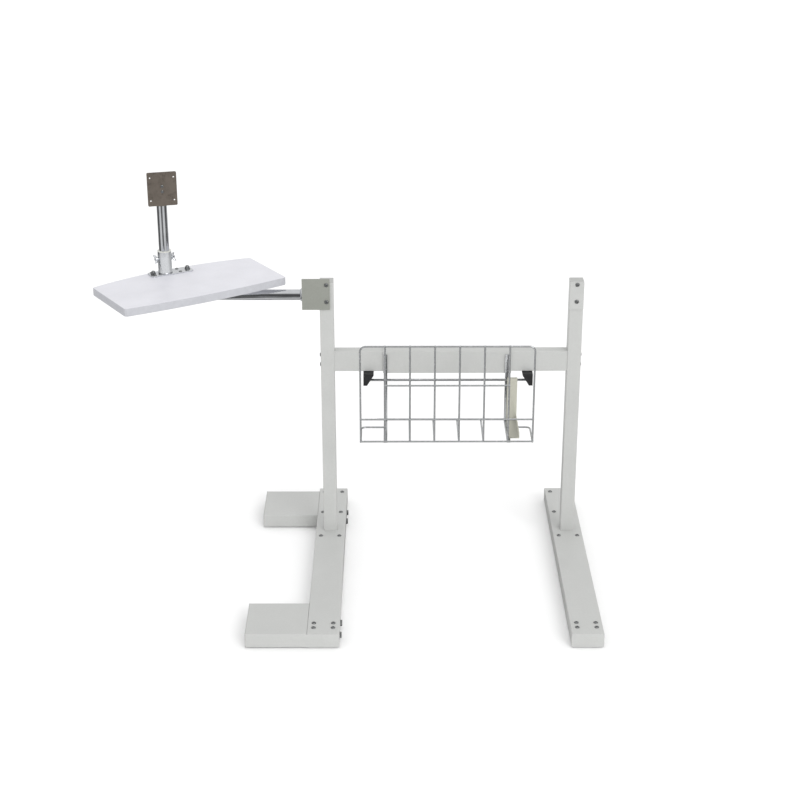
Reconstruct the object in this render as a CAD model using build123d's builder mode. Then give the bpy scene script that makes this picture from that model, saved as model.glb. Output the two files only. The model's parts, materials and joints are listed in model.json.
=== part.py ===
"""Free-standing desk frame that carries a computer basket, a swivelling
keyboard tray and a short monitor mast.  Millimetres, +Z up, the front of
the stand faces -Y.  The origin is on the floor, under the middle of the
stand's bounding box."""
import math
import os

from build123d import *

os.makedirs("parts", exist_ok=True)

# ---------------------------------------------------------------- sizes
PLANE_Y = 203.0          # the plane of the two uprights
LEFT_X = -61.0           # centre of the left upright
RIGHT_X = 752.5          # centre of the right upright
UP = 45.0                # upright, square tube
UP_WALL = 2.0
UP_TOP = 948.0           # top of the upright tubes, caps go on top

FOOT_W = 100.0
FOOT_TOP = 50.0
GLIDE = 3.0              # rubber glides lift the feet
FOOT_FRONT = -513.0
FOOT_REAR = 513.0
TOE = 75.0               # length of the bolted toe box
WALL = 2.0               # folded sheet of the feet

STUB_L = 190.0
STUB_W = 192.0
STUBS = (("front", -417.0), ("rear", 395.0))
STUB_BOLTS = [(-466, 20), (-394, 20), (311, 20), (377, 20)]
PLATE_BOLT_Z = (942.0, 884.0)

BEAM_Z0, BEAM_Z1 = 639.0, 709.0
BEAM_D = 40.0

BRACKET_Z0, BRACKET_Z1 = 857.0, 962.0
ARM_Z = 900.0
ARM_D = 35.0

SWIVEL_X = -589.166        # the swivel stands on the upright plane
TRAY_YAW = 32.9
TRAY_L, TRAY_W, TRAY_T = 571.0, 249.0, 25.0
TRAY_Z0 = 932.0
TRAY_U0 = -232.617         # left end of the tray from the swivel
TRAY_V1 = 39.0           # back corners of the tray from the swivel
REAR_BOW, FRONT_BOW = 36.0, 14.0

MAST_U, MAST_V = 27.0, 42.0   # mast from the swivel, along the tray
BASE_YAW, HEAD_YAW = 29.0, 14.0
MAST_D = 34.0
MAST_Z0, MAST_Z1 = 976.0, 1216.0
TILT_Z = 1253.0
VESA_W, VESA_H = 94.0, 110.0
VESA_PITCH = 75.0

WIRE = 6.0
GRID_X0, GRID_PITCH = 50.0, 79.6
GRID_Y = -2.0            # front wires of the basket
GRID_Z0, GRID_Z1 = 467.0, 797.0
ROD_Z, ROD_D = 613.0, 8.0
STOP_X, STOP_W = 549.5, 33.0
WEDGE_W, WEDGE_Z0 = 34.0, 598.0

BEAM_X0 = LEFT_X + UP / 2
BEAM_X1 = RIGHT_X - UP / 2
BEAM_Y0 = PLANE_Y - BEAM_D / 2
BEAM_Y1 = PLANE_Y + BEAM_D / 2


def level(z):
    """Level plane at height z."""
    return Plane.XY.offset(z)


def facing(y):
    """Plane that looks to the front (-Y), standing at y."""
    return Plane(origin=(0, y, 0), x_dir=(1, 0, 0), z_dir=(0, -1, 0))


def sideways(x):
    """Plane that looks to the right (+X), standing at x."""
    return Plane(origin=(x, 0, 0), x_dir=(0, 1, 0), z_dir=(1, 0, 0))


def on_tray(z):
    """Level plane at the swivel axis, turned with the tray."""
    turned = Plane(origin=(SWIVEL_X, PLANE_Y, z), z_dir=(0, 0, 1))
    return turned.rotated((0, 0, TRAY_YAW))


def on_mast(z, yaw):
    """Level plane at the mast axis, turned by yaw."""
    foot = on_tray(z).from_local_coords((MAST_U, MAST_V, 0))
    return Plane(origin=foot, z_dir=(0, 0, 1)).rotated((0, 0, yaw))


def mast_side(u, yaw):
    """Upright plane across the mast's own width, u to its right."""
    flat = on_mast(0, yaw)
    return Plane(flat.from_local_coords((u, 0, 0)),
                 x_dir=flat.y_dir, z_dir=flat.x_dir)


def mast_front(v, yaw):
    """Upright plane that looks to the mast's front, v behind it."""
    flat = on_mast(0, yaw)
    return Plane(flat.from_local_coords((0, v, 0)),
                 x_dir=flat.x_dir, z_dir=-flat.y_dir)


def save(part, name):
    """Label a finished piece and write its file."""
    part.label = name
    export_step(part, f"parts/{name}.step")


# ------------------------------------------------------------ the feet
BASE_BOLTS = [(sx, sy) for sx in (-31.5, 31.5) for sy in (-62, 119)]
TOE_BOLTS = [(sx, sy) for sx in (-30, 30) for sy in (39, 67)]

for side, x in (("left", LEFT_X), ("right", RIGHT_X)):
    mid_y = (FOOT_FRONT + TOE + FOOT_REAR - 3) / 2
    length = FOOT_REAR - 3 - FOOT_FRONT - TOE
    with BuildPart() as foot:
        with BuildSketch(facing(FOOT_REAR - 3)):
            with Locations((x, (GLIDE + FOOT_TOP) / 2)):
                RectangleRounded(FOOT_W, FOOT_TOP - GLIDE, 3)
        extrude(amount=length)
        with BuildSketch(facing(FOOT_REAR - 3)):
            with Locations((x, (GLIDE + FOOT_TOP) / 2)):
                Rectangle(FOOT_W - 2 * WALL, FOOT_TOP - GLIDE - 2 * WALL)
        extrude(amount=length, mode=Mode.SUBTRACT)
        with BuildSketch(level(FOOT_TOP)):
            with Locations((x, PLANE_Y)):
                Rectangle(UP, UP)
            with Locations(*[(x + a, PLANE_Y + b) for a, b in BASE_BOLTS]):
                Circle(4)
            with Locations((x - 31.5, FOOT_REAR - 29),
                           (x + 31.5, FOOT_REAR - 29)):
                Circle(4)
        extrude(amount=-10, mode=Mode.SUBTRACT)
        if side == "left":
            with BuildSketch(sideways(x - FOOT_W / 2)):
                with Locations(*STUB_BOLTS[1:]):
                    Circle(5)
            extrude(amount=FOOT_W, mode=Mode.SUBTRACT)
    save(foot.part, f"{side}_foot")

    with BuildPart() as toe:
        with BuildSketch(facing(FOOT_FRONT + TOE)):
            with Locations((x, (GLIDE + FOOT_TOP) / 2)):
                RectangleRounded(FOOT_W, FOOT_TOP - GLIDE, 3)
        extrude(amount=TOE)
        with BuildSketch(facing(FOOT_FRONT + TOE)):
            with Locations((x, (GLIDE + FOOT_TOP) / 2)):
                Rectangle(FOOT_W - 2 * WALL, FOOT_TOP - GLIDE - 2 * WALL)
        extrude(amount=TOE - WALL, mode=Mode.SUBTRACT)
        with BuildSketch(level(FOOT_TOP)):
            with Locations(*[(x + a, FOOT_FRONT + b) for a, b in TOE_BOLTS]):
                Circle(4)
        extrude(amount=-10, mode=Mode.SUBTRACT)
        if side == "left":
            with BuildSketch(sideways(x - FOOT_W / 2)):
                with Locations(STUB_BOLTS[0]):
                    Circle(5)
            extrude(amount=FOOT_W, mode=Mode.SUBTRACT)
    save(toe.part, f"{side}_toe_box")

    with BuildPart() as rear_cap:
        with BuildSketch(facing(FOOT_REAR)):
            with Locations((x, (GLIDE + FOOT_TOP) / 2)):
                RectangleRounded(FOOT_W, FOOT_TOP - GLIDE, 3)
        extrude(amount=3)
        with BuildSketch(facing(FOOT_REAR - 3)):
            with Locations((x, (GLIDE + FOOT_TOP) / 2)):
                Rectangle(FOOT_W - 2 * WALL, FOOT_TOP - GLIDE - 2 * WALL)
                Rectangle(FOOT_W - 8, FOOT_TOP - GLIDE - 8,
                          mode=Mode.SUBTRACT)
        extrude(amount=10)
    save(rear_cap.part, f"{side}_foot_cap")

    # ------------------------------------------------------- upright
    with BuildPart() as upright:
        with BuildSketch(level(FOOT_TOP - WALL)):
            with Locations((x, PLANE_Y)):
                RectangleRounded(UP, UP, 2.5)
                RectangleRounded(UP - 4, UP - 4, 0.5, mode=Mode.SUBTRACT)
        extrude(amount=UP_TOP - FOOT_TOP + WALL)
        # holes for the two plate bolts, front wall
        with BuildSketch(facing(PLANE_Y - UP / 2)):
            with Locations(*[(x, z) for z in PLATE_BOLT_Z]):
                Circle(4)
        extrude(amount=-UP_WALL, mode=Mode.SUBTRACT)
        # holes for the beam bolts, right through
        with BuildSketch(sideways(x - UP / 2)):
            with Locations((PLANE_Y, 657), (PLANE_Y, 691)):
                Circle(4)
        extrude(amount=UP, mode=Mode.SUBTRACT)
    save(upright.part, f"{side}_upright")

    with BuildPart() as cap:
        with BuildSketch(level(UP_TOP)):
            with Locations((x, PLANE_Y)):
                RectangleRounded(UP, UP, 2.5)
        extrude(amount=3)
        chamfer(cap.faces().sort_by(Axis.Z)[-1].edges(), 1)
        with BuildSketch(level(UP_TOP)):
            with Locations((x, PLANE_Y + 6.2)):
                Rectangle(UP - 4.8, 28)
                Rectangle(UP - 9, 24, mode=Mode.SUBTRACT)
        extrude(amount=-14)
    save(cap.part, f"{side}_upright_cap")

# ------------------------------------------------- stub feet, left only
STUB_X1 = LEFT_X - FOOT_W / 2
STUB_X0 = STUB_X1 - STUB_L
for name, y in STUBS:
    with BuildPart() as stub:
        with BuildSketch(sideways(STUB_X0 + 3)):
            with Locations((y, (GLIDE + FOOT_TOP) / 2)):
                RectangleRounded(STUB_W, FOOT_TOP - GLIDE, 3)
        extrude(amount=STUB_L - 3)
        with BuildSketch(sideways(STUB_X0 + 3)):
            with Locations((y, (GLIDE + FOOT_TOP) / 2)):
                Rectangle(STUB_W - 2 * WALL, FOOT_TOP - GLIDE - 2 * WALL)
        extrude(amount=STUB_L - 7, mode=Mode.SUBTRACT)
        with BuildSketch(sideways(STUB_X1)):
            with Locations(*STUB_BOLTS):
                Circle(5)
        extrude(amount=-6, mode=Mode.SUBTRACT)
    save(stub.part, f"{name}_stub_foot")

    with BuildPart() as stub_cap:
        with BuildSketch(sideways(STUB_X0)):
            with Locations((y, (GLIDE + FOOT_TOP) / 2)):
                RectangleRounded(STUB_W, FOOT_TOP - GLIDE, 3)
        extrude(amount=3)
        with BuildSketch(sideways(STUB_X0 + 3)):
            with Locations((y, (GLIDE + FOOT_TOP) / 2)):
                Rectangle(STUB_W - 2 * WALL, FOOT_TOP - GLIDE - 2 * WALL)
                Rectangle(STUB_W - 8, FOOT_TOP - GLIDE - 8,
                          mode=Mode.SUBTRACT)
        extrude(amount=12)
    save(stub_cap.part, f"{name}_stub_cap")

# ------------------------------ plates and bolts inside both feet
SIDES = (LEFT_X, RIGHT_X)
toe_spots = [(x + a, FOOT_FRONT + b) for x in SIDES for a, b in TOE_BOLTS]
base_spots = [(x + a, PLANE_Y + b) for x in SIDES for a, b in BASE_BOLTS]
rear_spots = [(x + a, FOOT_REAR - 29) for x in SIDES for a in (-31.5, 31.5)]

with BuildPart() as tongues:
    with BuildSketch(level(FOOT_TOP - WALL)):
        with Locations(*[(x, FOOT_FRONT + 75) for x in SIDES]):
            Rectangle(80, 130)
        with Locations(*toe_spots):
            Circle(4, mode=Mode.SUBTRACT)
    extrude(amount=-4)
save(tongues.part, "toe_tongues")

with BuildPart() as bases:
    with BuildSketch(level(FOOT_TOP - WALL)):
        with Locations(*[(x, PLANE_Y + 28.5) for x in SIDES]):
            Rectangle(92, 230)
        with Locations(*base_spots):
            Circle(4, mode=Mode.SUBTRACT)
    extrude(amount=-6)
save(bases.part, "base_plates")

with BuildPart() as rear_nuts:
    with BuildSketch(level(FOOT_TOP - WALL)):
        with Locations(*rear_spots):
            Rectangle(24, 30)
            Circle(4, mode=Mode.SUBTRACT)
    extrude(amount=-4)
save(rear_nuts.part, "rear_nut_plates")

# every M8 button head on top of the feet
spots = toe_spots + base_spots + rear_spots
with BuildPart() as foot_bolts:
    with BuildSketch(level(FOOT_TOP)):
        with Locations(*spots):
            Circle(7)
    extrude(amount=3.5)
    fillet(foot_bolts.edges().group_by(Axis.Z)[-1], 1.8)
    with BuildSketch(level(FOOT_TOP + 3.5)):
        with Locations(*spots):
            RegularPolygon(2.5, 6)
    extrude(amount=-2, mode=Mode.SUBTRACT)
    with BuildSketch(level(FOOT_TOP)):
        with Locations(*spots):
            Circle(4)
    extrude(amount=-10)
save(foot_bolts.part, "foot_bolts")

# bolts that pull the beam against the uprights, and the beam's ends
BEAM_BOLTS = [(PLANE_Y, 657), (PLANE_Y, 691)]
with BuildPart() as beam_bolts:
    for x, way in ((LEFT_X - UP / 2, 1), (RIGHT_X + UP / 2, -1)):
        with BuildSketch(sideways(x)):
            with Locations(*BEAM_BOLTS):
                Circle(7)
        extrude(amount=-3.5 * way)
        with BuildSketch(sideways(x)):
            with Locations(*BEAM_BOLTS):
                Circle(4)
        extrude(amount=(UP + 12) * way)
save(beam_bolts.part, "beam_bolts")

with BuildPart() as flanges:
    for x, way in ((BEAM_X0, 1), (BEAM_X1, -1)):
        with BuildSketch(sideways(x)):
            with Locations((PLANE_Y, (BEAM_Z0 + BEAM_Z1) / 2)):
                Rectangle(BEAM_D - 4, BEAM_Z1 - BEAM_Z0 - 4)
            with Locations(*BEAM_BOLTS):
                Circle(4, mode=Mode.SUBTRACT)
        extrude(amount=8 * way)
save(flanges.part, "beam_end_blocks")

with BuildPart() as stub_bolts:
    with BuildSketch(sideways(LEFT_X + FOOT_W / 2)):
        with Locations(*STUB_BOLTS):
            RegularPolygon(8.5, 6)
    extrude(amount=6)
    with BuildSketch(sideways(LEFT_X + FOOT_W / 2)):
        with Locations(*STUB_BOLTS):
            Circle(5)
    extrude(amount=-FOOT_W - 16)
save(stub_bolts.part, "stub_bolts")

# rubber glides under the feet and the stub feet
with BuildPart() as glides:
    with BuildSketch(level(0)):
        for x in (LEFT_X, RIGHT_X):
            with Locations((x, -485), (x, PLANE_Y - 130), (x, 485)):
                Rectangle(60, 30)
        with Locations(*[(STUB_X0 + 30, y) for _, y in STUBS]):
            Rectangle(30, 120)
    extrude(amount=GLIDE)
save(glides.part, "floor_glides")

# ------------------------------------------------------------ crossbeam
with BuildPart() as beam:
    with BuildSketch(sideways(BEAM_X0)):
        with Locations((PLANE_Y, (BEAM_Z0 + BEAM_Z1) / 2)):
            RectangleRounded(BEAM_D, BEAM_Z1 - BEAM_Z0, 2.5)
            Rectangle(BEAM_D - 4, BEAM_Z1 - BEAM_Z0 - 4,
                      mode=Mode.SUBTRACT)
    extrude(amount=BEAM_X1 - BEAM_X0)
save(beam.part, "crossbeam")

# ------------------------------------- arm bracket on the left upright
PLATE_Y = PLANE_Y - UP / 2
HOUSE_X0 = LEFT_X - 79.5
HOUSE_X1 = LEFT_X - UP / 2
HOUSE_Z1 = 942.0
PLATE_X1 = LEFT_X + 11.0
with BuildPart() as bracket:
    with BuildSketch(facing(PLATE_Y)):
        with Locations(((HOUSE_X0 + PLATE_X1) / 2,
                        (BRACKET_Z0 + BRACKET_Z1) / 2)):
            RectangleRounded(PLATE_X1 - HOUSE_X0,
                             BRACKET_Z1 - BRACKET_Z0, 1.5)
    extrude(amount=5)
    with BuildSketch(level(BRACKET_Z0)):
        with Locations(((HOUSE_X0 + HOUSE_X1) / 2, PLANE_Y)):
            Rectangle(HOUSE_X1 - HOUSE_X0, UP)
    extrude(amount=HOUSE_Z1 - BRACKET_Z0)
    with BuildSketch(level(BRACKET_Z0)):
        with Locations(((HOUSE_X0 + HOUSE_X1) / 2, PLANE_Y)):
            Rectangle(HOUSE_X1 - HOUSE_X0 - 10, UP - 8)
    extrude(amount=HOUSE_Z1 - BRACKET_Z0 - 5, mode=Mode.SUBTRACT)
    with BuildSketch(facing(PLATE_Y)):
        with Locations(*[(LEFT_X, z) for z in PLATE_BOLT_Z]):
            Circle(4)
    extrude(amount=5, mode=Mode.SUBTRACT)
    with BuildSketch(sideways(HOUSE_X0)):
        with Locations((PLANE_Y, ARM_Z)):
            Circle(ARM_D / 2)
    extrude(amount=5, mode=Mode.SUBTRACT)
save(bracket.part, "arm_bracket")

with BuildPart() as blank:
    with BuildSketch(facing(PLATE_Y)):
        with Locations((RIGHT_X, (BRACKET_Z0 + UP_TOP + 3) / 2)):
            RectangleRounded(UP, UP_TOP + 3 - BRACKET_Z0, 2)
        with Locations(*[(RIGHT_X, z) for z in PLATE_BOLT_Z]):
            Circle(4, mode=Mode.SUBTRACT)
    extrude(amount=4)
save(blank.part, "blank_plate")

for name, x, face in (("bracket_bolts", LEFT_X, PLATE_Y - 5),
                      ("blank_plate_bolts", RIGHT_X, PLATE_Y - 4)):
    with BuildPart() as plate_bolts:
        with BuildSketch(facing(face)):
            with Locations(*[(x, z) for z in PLATE_BOLT_Z]):
                Circle(7)
        extrude(amount=3.5)
        fillet(plate_bolts.edges().group_by(Axis.Y)[0], 1.8)
        with BuildSketch(facing(face - 3.5)):
            with Locations(*[(x, z) for z in PLATE_BOLT_Z]):
                RegularPolygon(2.5, 6)
        extrude(amount=-2, mode=Mode.SUBTRACT)
        with BuildSketch(facing(face)):
            with Locations(*[(x, z) for z in PLATE_BOLT_Z]):
                Circle(4)
        extrude(amount=-(PLATE_Y + UP_WALL + 8 - face))
    save(plate_bolts.part, name)

with BuildPart() as nut_bars:
    with BuildSketch(facing(PLATE_Y + UP_WALL + 6)):
        with Locations((LEFT_X, 911), (RIGHT_X, 911)):
            Rectangle(20, 68)
        with Locations(*[(x, z) for x in SIDES for z in PLATE_BOLT_Z]):
            Circle(4, mode=Mode.SUBTRACT)
    extrude(amount=6)
save(nut_bars.part, "nut_bars")

# ------------------------------------------------- arm tube and swivel
with BuildPart() as arm:
    with BuildSketch(sideways(SWIVEL_X)):
        with Locations((PLANE_Y, ARM_Z)):
            Circle(ARM_D / 2)
            Circle(ARM_D / 2 - 2, mode=Mode.SUBTRACT)
    extrude(amount=HOUSE_X0 + 5 - SWIVEL_X)
    with BuildSketch(level(ARM_Z - 40)):
        with Locations((SWIVEL_X, PLANE_Y)):
            Circle(25)
    extrude(amount=80, mode=Mode.SUBTRACT)
save(arm.part, "arm_tube")

with BuildPart() as collar:
    with BuildSketch(sideways(HOUSE_X0 - 6)):
        with Locations((PLANE_Y, ARM_Z)):
            Circle(21)
            Circle(ARM_D / 2, mode=Mode.SUBTRACT)
    extrude(amount=6)
    chamfer(collar.faces().sort_by(Axis.X)[0].edges()
            .sort_by(SortBy.LENGTH)[-1], 2)
save(collar.part, "arm_collar")

with BuildPart() as housing:
    with BuildSketch(level(868)):
        with Locations((SWIVEL_X, PLANE_Y)):
            Circle(25)
            Circle(14, mode=Mode.SUBTRACT)
    extrude(amount=52)
save(housing.part, "swivel_housing")

with BuildPart() as swivel_bush:
    with BuildSketch(level(868)):
        with Locations((SWIVEL_X, PLANE_Y)):
            Circle(14)
            Circle(12.05, mode=Mode.SUBTRACT)
    extrude(amount=52)
    with BuildSketch(level(920)):
        with Locations((SWIVEL_X, PLANE_Y)):
            Circle(24)
            Circle(12.05, mode=Mode.SUBTRACT)
    extrude(amount=3)
save(swivel_bush.part, "swivel_bush")

# ------------------------------------------------------- keyboard tray
with BuildPart() as spindle:
    with BuildSketch(on_tray(858)):
        Circle(12)
    extrude(amount=927 - 858)
    chamfer(spindle.edges().group_by(Axis.Z)[0], 1)
save(spindle.part, "swivel_spindle")

with BuildPart() as keeper:
    with BuildSketch(on_tray(860)):
        Circle(20)
        Circle(12, mode=Mode.SUBTRACT)
    extrude(amount=7.6)
    chamfer(keeper.faces().sort_by(Axis.Z)[0].edges()
            .sort_by(SortBy.LENGTH)[-1], 1)
save(keeper.part, "spindle_keeper")

with BuildPart() as tray_plate:
    with BuildSketch(on_tray(927)):
        with Locations((0, -42)):
            RectangleRounded(150, 136, 8)
    extrude(amount=TRAY_Z0 - 927)
    with BuildSketch(on_tray(927)):
        Circle(22)
    extrude(amount=-3.6)
    with BuildSketch(on_tray(927)):
        Circle(12)
    extrude(amount=-3.6, mode=Mode.SUBTRACT)
save(tray_plate.part, "tray_plate")

with BuildPart() as tray_screws:
    spots = [(u, v) for u in (-62, 62) for v in (-98, 14)]
    with BuildSketch(on_tray(927)):
        with Locations(*spots):
            Circle(5)
    extrude(amount=-2.6)
    fillet(tray_screws.edges().group_by(Axis.Z)[0], 1.2)
save(tray_screws.part, "tray_screws")



def tray_outline(inset, corner):
    """The tray's outline: straight ends, bowed front and back."""
    u0, u1 = TRAY_U0 + inset, TRAY_U0 + TRAY_L - inset
    v0, v1 = TRAY_V1 - TRAY_W + inset, TRAY_V1 - inset
    mid = (u0 + u1) / 2
    with BuildSketch(on_tray(TRAY_Z0)) as outline:
        with BuildLine():
            Line((u0, v0), (u0, v1))
            ThreePointArc((u0, v1), (mid, v1 + REAR_BOW), (u1, v1))
            Line((u1, v1), (u1, v0))
            ThreePointArc((u1, v0), (mid, v0 - FRONT_BOW), (u0, v0))
        make_face()
        fillet(outline.vertices(), corner)
    return outline


with BuildPart() as board:
    add(tray_outline(2, 10).sketch)
    extrude(amount=TRAY_T)
save(board.part, "tray_board")

with BuildPart() as band:
    add(tray_outline(0, 12).sketch)
    extrude(amount=TRAY_T)
    fillet(band.edges().group_by(Axis.Z)[-1], 1.9)
    fillet(band.edges().group_by(Axis.Z)[0], 1.9)
    add(tray_outline(2, 10).sketch)
    extrude(amount=TRAY_T, mode=Mode.SUBTRACT)
save(band.part, "tray_edge_band")

# --------------------------------------------- mast socket on the tray
TRAY_TOP = TRAY_Z0 + TRAY_T
with BuildPart() as mast_base:
    with BuildSketch(on_mast(TRAY_TOP, BASE_YAW)):
        with Locations((17.5, 0)):
            RectangleRounded(146, 48, 10)
    extrude(amount=4)
    chamfer(mast_base.faces().sort_by(Axis.Z)[-1].edges(), 0.8)
save(mast_base.part, "mast_base_plate")

with BuildPart() as base_knobs:
    spots = [(-42, 0), (77, 0)]
    with BuildSketch(on_mast(TRAY_TOP + 4, BASE_YAW)):
        with Locations(*spots):
            Circle(9)
    extrude(amount=5)
    with BuildSketch(on_mast(TRAY_TOP + 9, BASE_YAW)):
        with Locations(*spots):
            Circle(6.5)
    extrude(amount=7)
    fillet(base_knobs.edges().group_by(Axis.Z)[-1], 3)
save(base_knobs.part, "base_dome_nuts")

with BuildPart() as base_screws:
    spots = [(-42, 16), (-42, -16), (46, 16), (46, -16)]
    with BuildSketch(on_mast(TRAY_TOP + 4, BASE_YAW)):
        with Locations(*spots):
            Circle(5)
    extrude(amount=2.6)
    fillet(base_screws.edges().group_by(Axis.Z)[-1], 1.2)
save(base_screws.part, "base_screws")

SOCKET_Z0, SOCKET_Z1 = TRAY_TOP + 4, 1034.0
SCREW_Z = 1010.0
with BuildPart() as socket:
    with BuildSketch(on_mast(SOCKET_Z0, BASE_YAW)):
        Circle(22.5)
        Circle(19, mode=Mode.SUBTRACT)
    extrude(amount=SOCKET_Z1 - SOCKET_Z0)
    with BuildSketch(on_mast(SOCKET_Z0, BASE_YAW)):
        Circle(23.9)
        Circle(22.5, mode=Mode.SUBTRACT)
    extrude(amount=5)
    with BuildSketch(mast_side(-40, BASE_YAW)):
        with Locations((0, SCREW_Z)):
            Circle(4.05)
    extrude(amount=80, mode=Mode.SUBTRACT)
save(socket.part, "mast_socket")

with BuildPart() as liner:
    with BuildSketch(on_mast(SOCKET_Z0, BASE_YAW)):
        Circle(19)
        Circle(MAST_D / 2 + 0.05, mode=Mode.SUBTRACT)
    extrude(amount=SOCKET_Z1 - SOCKET_Z0)
    with BuildSketch(on_mast(SOCKET_Z1, BASE_YAW)):
        Circle(22.5)
        Circle(MAST_D / 2 + 0.05, mode=Mode.SUBTRACT)
    extrude(amount=2)
    with BuildSketch(mast_side(-40, BASE_YAW)):
        with Locations((0, SCREW_Z)):
            Circle(4.05)
    extrude(amount=80, mode=Mode.SUBTRACT)
save(liner.part, "socket_liner")

for name, way in (("left_wing_screw", -1), ("right_wing_screw", 1)):
    with BuildPart() as wing:
        with BuildSketch(mast_side(way * (MAST_D / 2 + 0.4), BASE_YAW)):
            with Locations((0, SCREW_Z)):
                Circle(4)
        extrude(amount=way * 14)
        with BuildSketch(mast_side(way * 24, BASE_YAW)):
            with Locations((0, SCREW_Z)):
                Circle(7)
        extrude(amount=way * 9)
        with BuildSketch(mast_side(way * 26, BASE_YAW)):
            with Locations((0, SCREW_Z)):
                SlotOverall(30, 9)
        extrude(amount=way * 4)
        with BuildSketch(mast_side(way * 30, BASE_YAW)):
            with Locations((-11, SCREW_Z), (11, SCREW_Z)):
                Circle(4.5)
        extrude(amount=way * 9)
    save(wing.part, name)

# --------------------------------------------------------------- mast
with BuildPart() as mast:
    with BuildSketch(on_mast(MAST_Z0, HEAD_YAW)):
        Circle(MAST_D / 2)
        Circle(MAST_D / 2 - 2, mode=Mode.SUBTRACT)
    extrude(amount=MAST_Z1 - MAST_Z0)
save(mast.part, "mast_tube")

# ---------------------------------------------- pan head and tilt plate
ALONG_HEAD = Axis((0, 0, 0), on_mast(0, HEAD_YAW).x_dir)
OFF_FRONT = Axis((0, 0, 0), mast_front(0, HEAD_YAW).z_dir)
with BuildPart() as head:
    with BuildSketch(on_mast(1190, HEAD_YAW)):
        Circle(21)
        Circle(MAST_D / 2 + 0.05, mode=Mode.SUBTRACT)
    extrude(amount=MAST_Z1 + 0.4 - 1190)
    with BuildSketch(on_mast(MAST_Z1 + 0.4, HEAD_YAW)):
        Circle(21)
    extrude(amount=9.6)
    with BuildSketch(on_mast(1226, HEAD_YAW)):
        with Locations((-17, 0), (17, 0)):
            Rectangle(7, 26)
    extrude(amount=TILT_Z + 14 - 1226)
    fillet(head.edges().filter_by(ALONG_HEAD).group_by(Axis.Z)[-1], 10)
    with BuildSketch(mast_side(-30, HEAD_YAW)):
        with Locations((0, TILT_Z)):
            Circle(5)
    extrude(amount=60, mode=Mode.SUBTRACT)
save(head.part, "pan_head")

with BuildPart() as tilt_pin:
    with BuildSketch(mast_side(-24, HEAD_YAW)):
        with Locations((0, TILT_Z)):
            Circle(5)
    extrude(amount=44.5)
    with BuildSketch(mast_side(-20.5, HEAD_YAW)):
        with Locations((0, TILT_Z)):
            Circle(9)
    extrude(amount=-5)
    with BuildSketch(mast_side(20.5, HEAD_YAW)):
        with Locations((0, TILT_Z)):
            RegularPolygon(9, 6)
    extrude(amount=6)
save(tilt_pin.part, "tilt_bolt")

with BuildPart() as tilt_block:
    with BuildSketch(mast_side(-13.1, HEAD_YAW)):
        with BuildLine():
            Polyline((-40, TILT_Z - 16), (-8, TILT_Z - 10),
                     (8, TILT_Z - 10), (8, TILT_Z + 10),
                     (-8, TILT_Z + 10), (-40, TILT_Z + 16), close=True)
        make_face()
        with Locations((0, TILT_Z)):
            Circle(5.05, mode=Mode.SUBTRACT)
    extrude(amount=26.2)
save(tilt_block.part, "tilt_block")

with BuildPart() as vesa:
    with BuildSketch(mast_front(-40, HEAD_YAW)):
        with Locations((0, TILT_Z)):
            RectangleRounded(VESA_W, VESA_H, 4)
        with Locations((0, TILT_Z)):
            with GridLocations(VESA_PITCH, VESA_PITCH, 2, 2):
                Circle(2.5, mode=Mode.SUBTRACT)
    extrude(amount=4)
save(vesa.part, "monitor_plate")

with BuildPart() as vesa_screws:
    with BuildSketch(mast_front(-44, HEAD_YAW)):
        with Locations((0, TILT_Z + 9), (0, TILT_Z - 9)):
            Circle(5)
    extrude(amount=2.6)
    fillet(vesa_screws.edges().group_by(OFF_FRONT)[-1], 1.2)
save(vesa_screws.part, "plate_screws")

# ------------------------------------------------- computer basket
SADDLE_X0, SADDLE_X1 = 122.0, 546.0
with BuildPart() as saddle:
    with BuildSketch(sideways(SADDLE_X0)):
        with BuildLine():
            y0, y1, z1 = BEAM_Y0 - 0.4, BEAM_Y1 + 0.4, BEAM_Z1 + 0.4
            Polyline((y0, 634), (y0, z1), (y1, z1), (y1, 669),
                     (y1 + 3, 669), (y1 + 3, z1 + 3), (y0 - 3, z1 + 3),
                     (y0 - 3, 634), close=True)
        make_face()
    extrude(amount=SADDLE_X1 - SADDLE_X0)
    fillet(saddle.edges().filter_by(Axis.X).group_by(Axis.Z)[-1], 2.5)
save(saddle.part, "beam_saddle")

HANG_Y1 = BEAM_Y0 - 3.4
HANG_Y0 = HANG_Y1 - 5
for name, x in (("left_hanger", 130.0), ("right_hanger", 531.0)):
    with BuildPart() as hanger:
        with BuildSketch(sideways(x - 6)):
            with BuildLine():
                Polyline((HANG_Y1, 700), (HANG_Y1, 459), (6, 459),
                         (6, 464), (HANG_Y0, 464), (HANG_Y0, 700),
                         close=True)
            make_face()
        extrude(amount=12)
        fillet(hanger.edges().filter_by(Axis.X).group_by(Axis.Z)[0]
               .sort_by(Axis.Y)[-1], 4.5)
    save(hanger.part, name)

ROD_Y = HANG_Y0 - ROD_D / 2
ROD_X0, ROD_X1 = 69.0, 604.0
with BuildPart() as rod:
    with BuildSketch(sideways(ROD_X0)):
        with Locations((ROD_Y, ROD_Z)):
            Circle(ROD_D / 2)
    extrude(amount=ROD_X1 - ROD_X0)
save(rod.part, "rear_rod")

for name, x, way in (("left_wedge", 57.0, 1), ("right_wedge", 616.0, -1)):
    with BuildPart() as wedge:
        with BuildSketch(facing(192)):
            with BuildLine():
                Polyline((x, 638.5), (x + WEDGE_W * way, 638.5),
                         (x + WEDGE_W * way, 634),
                         (x + 12 * way, WEDGE_Z0),
                         (x, WEDGE_Z0), close=True)
            make_face()
        extrude(amount=36)
        with BuildSketch(sideways(ROD_X0)):
            with Locations((ROD_Y, ROD_Z)):
                Circle(ROD_D / 2)
        extrude(amount=ROD_X1 - ROD_X0, mode=Mode.SUBTRACT)
    save(wedge.part, name)

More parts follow.
